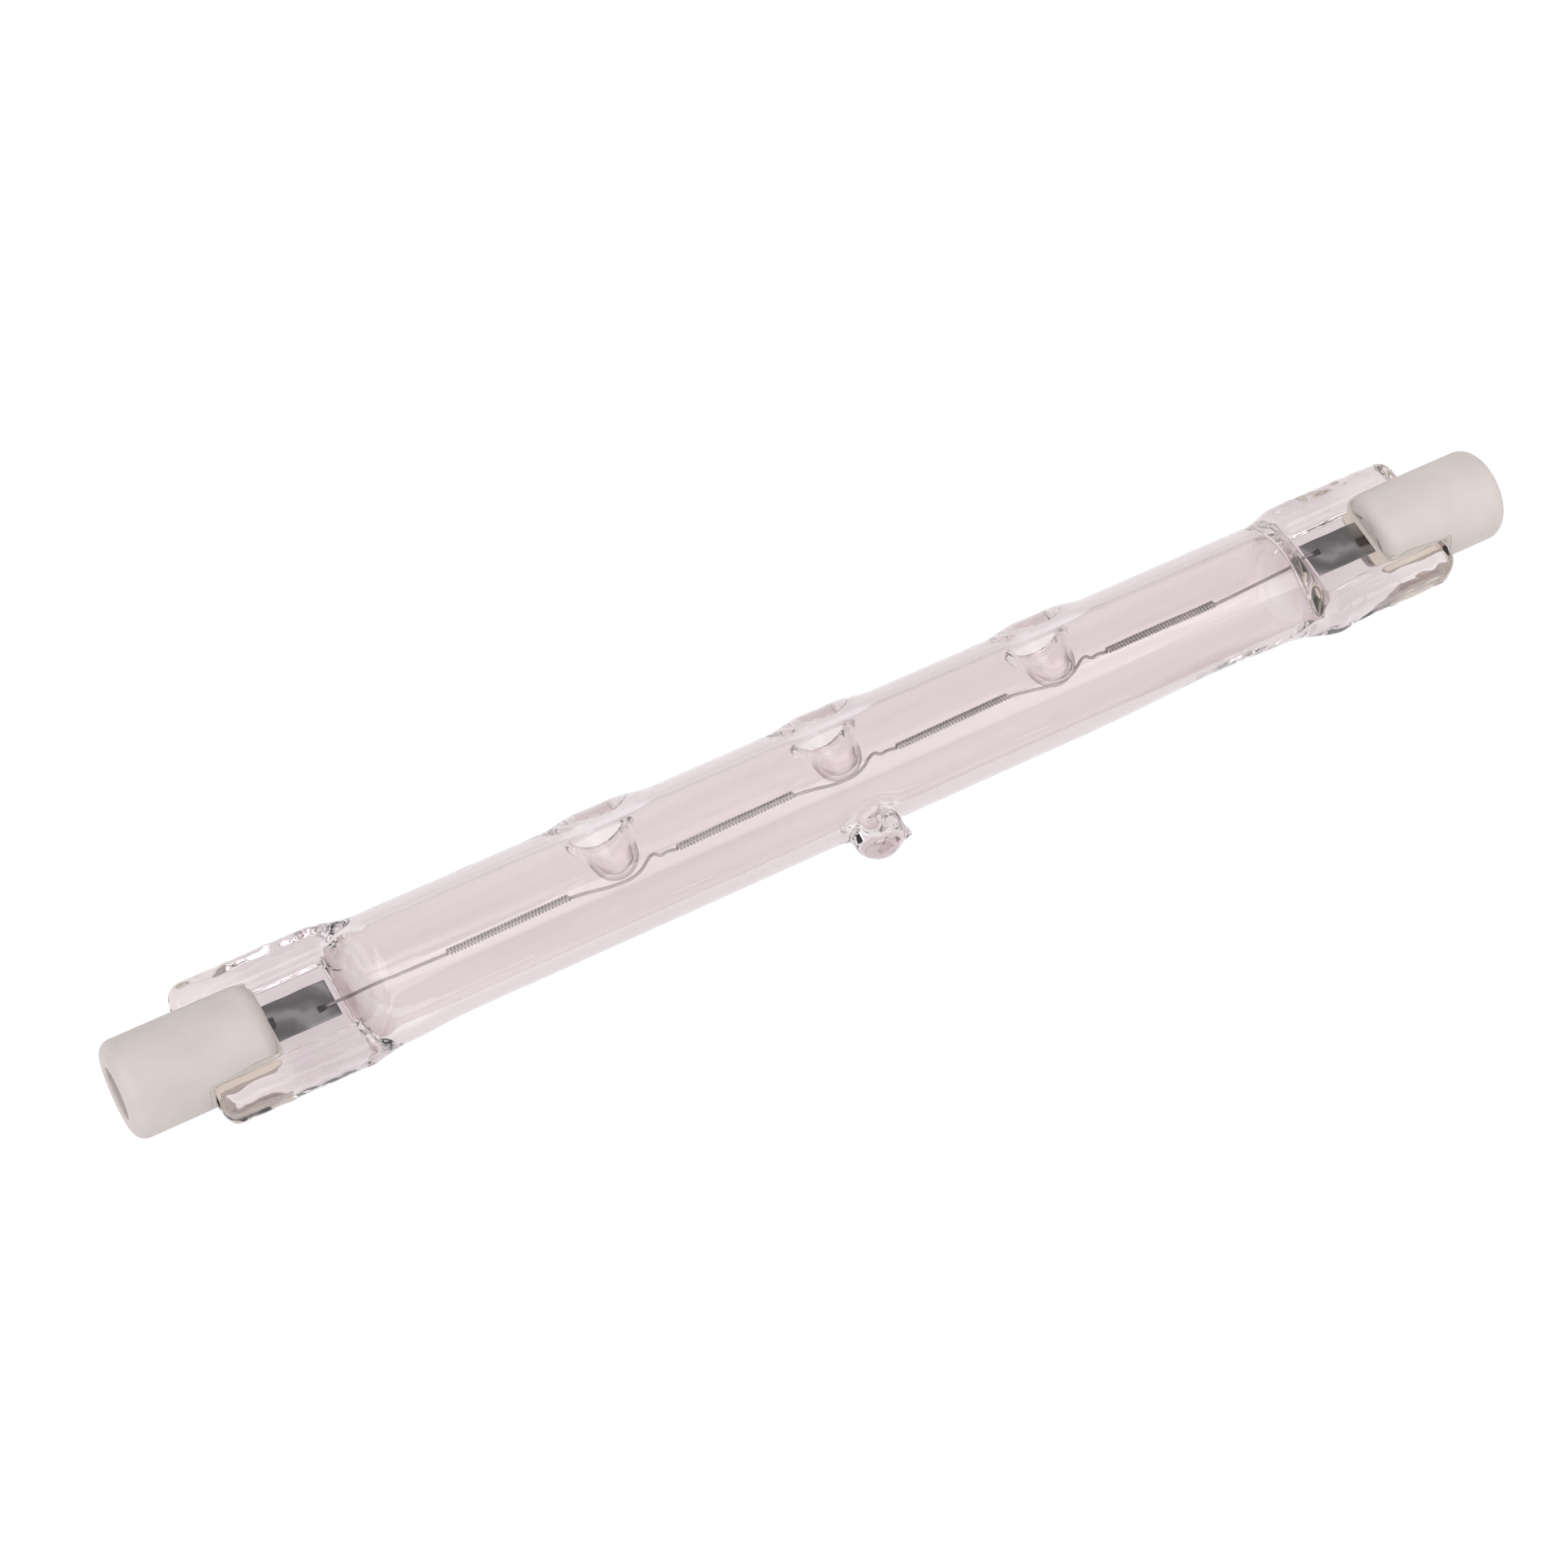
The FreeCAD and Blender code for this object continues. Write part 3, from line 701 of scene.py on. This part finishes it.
def colour_ramp(tree, factor, stops):
    """A colour that passes through the stops (value, colour) as the factor grows."""
    ramp = tree.nodes.new("ShaderNodeValToRGB")
    elements = ramp.color_ramp.elements
    while len(elements) < len(stops):
        elements.new(0.5)
    for element, (position, colour) in zip(elements, stops):
        element.position = position
        element.color = (*colour, 1.0)
    tree.links.new(factor, ramp.inputs["Fac"])
    return ramp.outputs["Color"]


def two_tone(tree, pattern, tones, stops=MOTTLE_STOPS):
    """A colour that goes from a dark tone to a light one between two values of a pattern."""
    return colour_ramp(tree, pattern, list(zip(stops, tones)))


def bump(tree, shader, height, strength, depth):
    """Bumps a surface by a pattern, as deep as the depth in millimetres."""
    node = tree.nodes.new("ShaderNodeBump")
    node.inputs["Strength"].default_value = strength
    node.inputs["Distance"].default_value = depth * MM
    tree.links.new(height, node.inputs["Height"])
    tree.links.new(node.outputs["Normal"], shader.inputs["Normal"])


def lamp_place(tree):
    """Distance of a point from the lamp's middle along its axis, from that axis and above it."""
    place = tree.nodes.new("ShaderNodeTexCoord").outputs["Object"]
    parts = tree.nodes.new("ShaderNodeSeparateXYZ")
    tree.links.new(place, parts.inputs["Vector"])
    along = tree.nodes.new("ShaderNodeMath")
    along.operation = "ABSOLUTE"
    tree.links.new(parts.outputs["X"], along.inputs[0])
    flat = tree.nodes.new("ShaderNodeVectorMath")
    flat.operation = "MULTIPLY"
    flat.inputs[1].default_value = (0.0, 1.0, 1.0)
    tree.links.new(place, flat.inputs[0])
    length = tree.nodes.new("ShaderNodeVectorMath")
    length.operation = "LENGTH"
    tree.links.new(flat.outputs["Vector"], length.inputs[0])
    return along.outputs["Value"], length.outputs["Value"], parts.outputs["Z"]


def ranged(tree, value, limits):
    """A factor that goes from 0 to 1 between two limits in millimetres."""
    node = tree.nodes.new("ShaderNodeMapRange")
    node.interpolation_type = "SMOOTHSTEP"
    node.inputs["From Min"].default_value = limits[0] * MM
    node.inputs["From Max"].default_value = limits[1] * MM
    tree.links.new(value, node.inputs["Value"])
    return node.outputs["Result"]


def mixed(tree, factor, first, second):
    """The first colour where the factor is 0 and the second where it is 1."""
    node = tree.nodes.new("ShaderNodeMixRGB")
    tree.links.new(factor, node.inputs["Fac"])
    tree.links.new(first, node.inputs["Color1"])
    tree.links.new(second, node.inputs["Color2"])
    return node.outputs["Color"]


def multiplied(tree, first, second):
    """The product of two colours."""
    node = tree.nodes.new("ShaderNodeMixRGB")
    node.blend_type = "MULTIPLY"
    node.inputs["Fac"].default_value = 1.0
    tree.links.new(first, node.inputs["Color1"])
    tree.links.new(second, node.inputs["Color2"])
    return node.outputs["Color"]


def quartz_material():
    """Clear pinkish quartz, whose tint depends on the part of the envelope, with painted shade where a face
    is seen edge on and painted light on its low side and by the caps.
    """
    material, tree, shader = material_tree("quartz")
    shader.inputs["IOR"].default_value = 1.458
    shader.inputs["Transmission Weight"].default_value = 1.0
    shader.inputs["Roughness"].default_value = 0.0
    cloud = noise_texture(tree, scale=120.0)
    streaks = noise_texture(tree, scale=450.0, detail=2.0, coordinates=stretched(tree))
    tube = two_tone(tree, streaks, TUBE_TINTS, QUARTZ_STOPS)
    low_side_lit = two_tone(tree, streaks, LOW_SIDE_LIGHT_TINTS, QUARTZ_STOPS)
    seal = two_tone(tree, cloud, SEAL_TINTS, QUARTZ_STOPS)
    end = two_tone(tree, cloud, END_LIGHTENING_TINTS, QUARTZ_STOPS)
    dimple = two_tone(tree, cloud, DIMPLE_TINTS, QUARTZ_STOPS)
    # Painted shade: darker glass where a face is seen edge on, deepest on the dimples' noses
    weight = tree.nodes.new("ShaderNodeLayerWeight")
    weight.inputs["Blend"].default_value = 0.5
    facing = weight.outputs["Facing"]
    bore_edge_shade = colour_ramp(tree, facing, BORE_EDGE_SHADE)
    wall_edge_shade = colour_ramp(tree, facing, WALL_EDGE_SHADE)
    nose_edge_shade = colour_ramp(tree, facing, NOSE_EDGE_SHADE)
    along, from_axis, above = lamp_place(tree)
    edge = mixed(tree, ranged(tree, from_axis, WALL_GLASS), bore_edge_shade, wall_edge_shade)
    # Painted light: the tube grows paler towards its low side
    colour = mixed(tree, ranged(tree, above, LOW_SIDE_LIGHT_HEIGHTS), tube, low_side_lit)
    colour = multiplied(tree, colour, edge)
    nose = multiplied(tree, dimple, nose_edge_shade)
    dimple = mixed(tree, ranged(tree, from_axis, NOSE_GLASS), dimple, nose)
    colour = mixed(tree, ranged(tree, from_axis, DIMPLE_GLASS), colour, dimple)
    colour = mixed(tree, ranged(tree, from_axis, TIP_GLASS), colour, seal)
    colour = mixed(tree, ranged(tree, along, SEAL_GLASS), colour, seal)
    # Painted light: clearer glass by the caps
    colour = mixed(tree, ranged(tree, along, END_GLASS), colour, end)
    tree.links.new(colour, shader.inputs["Base Color"])
    bump(tree, shader, noise_texture(tree, scale=250.0, detail=2.0), strength=0.05, depth=0.3)
    return material


def metal_material(name, tones, roughness, scale):
    """Mottled metal with finer bumps."""
    material, tree, shader = material_tree(name)
    shader.inputs["Metallic"].default_value = 1.0
    shader.inputs["Roughness"].default_value = roughness
    tree.links.new(two_tone(tree, noise_texture(tree, scale), tones), shader.inputs["Base Color"])
    bump(tree, shader, noise_texture(tree, scale * BUMP_FINENESS), strength=0.1, depth=0.05)
    return material


def tungsten_material():
    """Grey wire, blackened at the welds on the foils."""
    material = metal_material("tungsten", TUNGSTEN_TONES, roughness=0.4, scale=600.0)
    tree = material.node_tree
    colour = tree.nodes["Principled BSDF"].inputs["Base Color"]
    along = lamp_place(tree)[0]
    black = two_tone(tree, noise_texture(tree, scale=900.0), WELD_TONES)
    welded = ranged(tree, along, (LEG_END - WELD_LENGTH, LEG_END - WELD_LENGTH / 2))
    tree.links.new(mixed(tree, welded, colour.links[0].from_socket, black), colour)
    return material


def molybdenum_material():
    """Etched foil with slanting, uneven bands of painted sheen."""
    material, tree, shader = material_tree("molybdenum")
    shader.inputs["Metallic"].default_value = 1.0
    shader.inputs["Roughness"].default_value = 0.45
    bands = tree.nodes.new("ShaderNodeTexWave")
    bands.bands_direction = "DIAGONAL"
    bands.inputs["Scale"].default_value = 130.0
    bands.inputs["Distortion"].default_value = 9.0
    bands.inputs["Detail"].default_value = 3.0
    bands.inputs["Detail Scale"].default_value = 1.5
    tree.links.new(tree.nodes.new("ShaderNodeTexCoord").outputs["Object"], bands.inputs["Vector"])
    tree.links.new(colour_ramp(tree, bands.outputs["Fac"], FOIL_PAINTED_SHEEN), shader.inputs["Base Color"])
    bump(tree, shader, noise_texture(tree, scale=1200.0), strength=0.1, depth=0.05)
    return material


def lead_material():
    return metal_material("lead_wire", LEAD_TONES, roughness=0.5, scale=500.0)


def contact_material():
    return metal_material("contact_metal", CONTACT_TONES, roughness=0.35, scale=500.0)


def soften(shader, weight, reach):
    """Lets light spread below a surface, as far as the reach in millimetres."""
    shader.inputs["Subsurface Weight"].default_value = weight
    shader.inputs["Subsurface Radius"].default_value = (1.0, 0.9, 0.8)
    shader.inputs["Subsurface Scale"].default_value = reach * MM


def ceramic_material(tones):
    """Matt white ceramic with a fine grain, in the given tones, which for the right cap hold painted light.
    """
    material, tree, shader = material_tree("ceramic")
    shader.inputs["Roughness"].default_value = 0.55
    soften(shader, weight=0.5, reach=0.6)
    mottle = noise_texture(tree, scale=300.0, detail=6.0)
    tree.links.new(two_tone(tree, mottle, tones), shader.inputs["Base Color"])
    bump(tree, shader, noise_texture(tree, scale=2500.0, detail=4.0), strength=0.25, depth=0.03)
    return material


def along_lamp_z(tree, vector):
    """The part of a vector that runs along the lamp's own Z axis."""
    node = tree.nodes.new("ShaderNodeVectorMath")
    node.operation = "DOT_PRODUCT"
    node.inputs[1].default_value = (0.0, -math.sin(REST_ROLL), math.cos(REST_ROLL))
    tree.links.new(vector, node.inputs[0])
    return node.outputs["Value"]


def outward(tree):
    """How far a face lies from the seal's middle, counted as negative where it looks back at the seal."""
    node = tree.nodes.new("ShaderNodeMath")
    node.operation = "MULTIPLY"
    place = tree.nodes.new("ShaderNodeTexCoord").outputs["Object"]
    normal = tree.nodes.new("ShaderNodeNewGeometry").outputs["Normal"]
    tree.links.new(along_lamp_z(tree, place), node.inputs[0])
    tree.links.new(along_lamp_z(tree, normal), node.inputs[1])
    return node.outputs["Value"]


def cement_material():
    """Rough beige cement with a painted glow that lightens its shade, strongest on its bed, which faces in
    at the glass.
    """
    material, tree, shader = material_tree("cement")
    shader.inputs["Roughness"].default_value = 0.9
    grain = noise_texture(tree, scale=700.0, detail=5.0)
    tree.links.new(two_tone(tree, grain, CEMENT_TONES), shader.inputs["Base Color"])
    # Painted glow: the cement gives off light of its own to lighten its shade, most on its bed
    glow_share = ranged(tree, outward(tree), CEMENT_GLOW_FACING)
    tree.links.new(colour_ramp(tree, glow_share, CEMENT_PAINTED_GLOW), shader.inputs["Emission Color"])
    shader.inputs["Emission Strength"].default_value = 1.0
    material.cycles.emission_sampling = "NONE"
    bump(tree, shader, noise_texture(tree, scale=1800.0, detail=5.0), strength=0.6, depth=0.1)
    return material


def dress_node(node, material):
    """A CAD node that stays gets its finish."""
    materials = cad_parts[node].data.materials
    materials.clear()
    materials.append(material)


def studio_floor():
    """The white sheet that the lamp lies on, which is no part of it."""
    bpy.ops.mesh.primitive_plane_add(size=6.0, location=(0.0, 0.0, cad_low.z))
    plane = bpy.context.object
    plane.name = "floor"
    material, _, shader = material_tree("floor")
    shader.inputs["Base Color"].default_value = (0.10, 0.10, 0.10, 1.0)
    shader.inputs["Roughness"].default_value = 0.9
    shader.inputs["Specular IOR Level"].default_value = 0.0
    shader.inputs["Emission Color"].default_value = (1.0, 1.0, 1.0, 1.0)
    shader.inputs["Emission Strength"].default_value = 0.96
    plane.data.materials.append(material)


def area_light(name, place, size, power):
    """A rectangular light that shines at the lamp's middle, with its place and size in metres."""
    data = bpy.data.lights.new(name, "AREA")
    data.shape = "RECTANGLE"
    data.size, data.size_y = size
    data.energy = power
    light = bpy.data.objects.new(name, data)
    light.location = place
    light.rotation_euler = Vector(place).to_track_quat("Z", "Y").to_euler()
    bpy.context.scene.collection.objects.link(light)


def studio_light():
    """White surroundings, a key light at the upper left and a long strip in front."""
    world = bpy.data.worlds.new("studio")
    bpy.context.scene.world = world
    world.use_nodes = True
    background = world.node_tree.nodes["Background"]
    background.inputs["Color"].default_value = (1.0, 1.0, 1.0, 1.0)
    background.inputs["Strength"].default_value = 1.0
    area_light("key", place=(-0.6, -0.25, 0.5), size=(0.6, 0.6), power=2.4)
    area_light("strip", place=(0.0, -0.44, 0.20), size=(0.8, 0.28), power=1.3)


def studio_camera():
    """The photograph's camera, with its roll and its aim a little beside the lamp's middle."""
    flat, rise = math.cos(CAMERA_ELEVATION), math.sin(CAMERA_ELEVATION)
    back = Vector((math.sin(CAMERA_AZIMUTH) * flat, -math.cos(CAMERA_AZIMUTH) * flat, rise))
    level = Vector((math.cos(CAMERA_AZIMUTH), math.sin(CAMERA_AZIMUTH), 0.0))
    turn = Matrix.Rotation(CAMERA_ROLL, 3, back)
    right, up = turn @ level, turn @ back.cross(level)
    eye = (back * CAMERA_DISTANCE + right * CAMERA_SIDE + up * CAMERA_RISE) * MM
    data = bpy.data.cameras.new("camera")
    data.sensor_width = SENSOR_WIDTH
    data.lens = FOCAL_LENGTH
    data.clip_start = 0.01
    viewer = bpy.data.objects.new("camera", data)
    viewer.matrix_world = Matrix.Translation(eye) @ Matrix((right, up, back)).transposed().to_4x4()
    bpy.context.scene.collection.objects.link(viewer)
    bpy.context.scene.camera = viewer


def view_settings():
    """Plain colours, and light paths long enough for the glass."""
    scene = bpy.context.scene
    scene.view_settings.view_transform = "Standard"
    scene.cycles.max_bounces = ALL_BOUNCES
    scene.cycles.transmission_bounces = GLASS_BOUNCES
    scene.cycles.glossy_bounces = GLASS_BOUNCES


quartz_envelope()
filament()
for side_name, side_direction in (("left", -1), ("right", 1)):
    moly_foil(side_name, side_direction)
    ceramic_cap(side_name)
    cap_cement(side_name)
    dress_node(f"outer_lead_{side_name}", lead_material())
    dress_node(f"contact_{side_name}", contact_material())
studio_floor()
studio_light()
studio_camera()
view_settings()
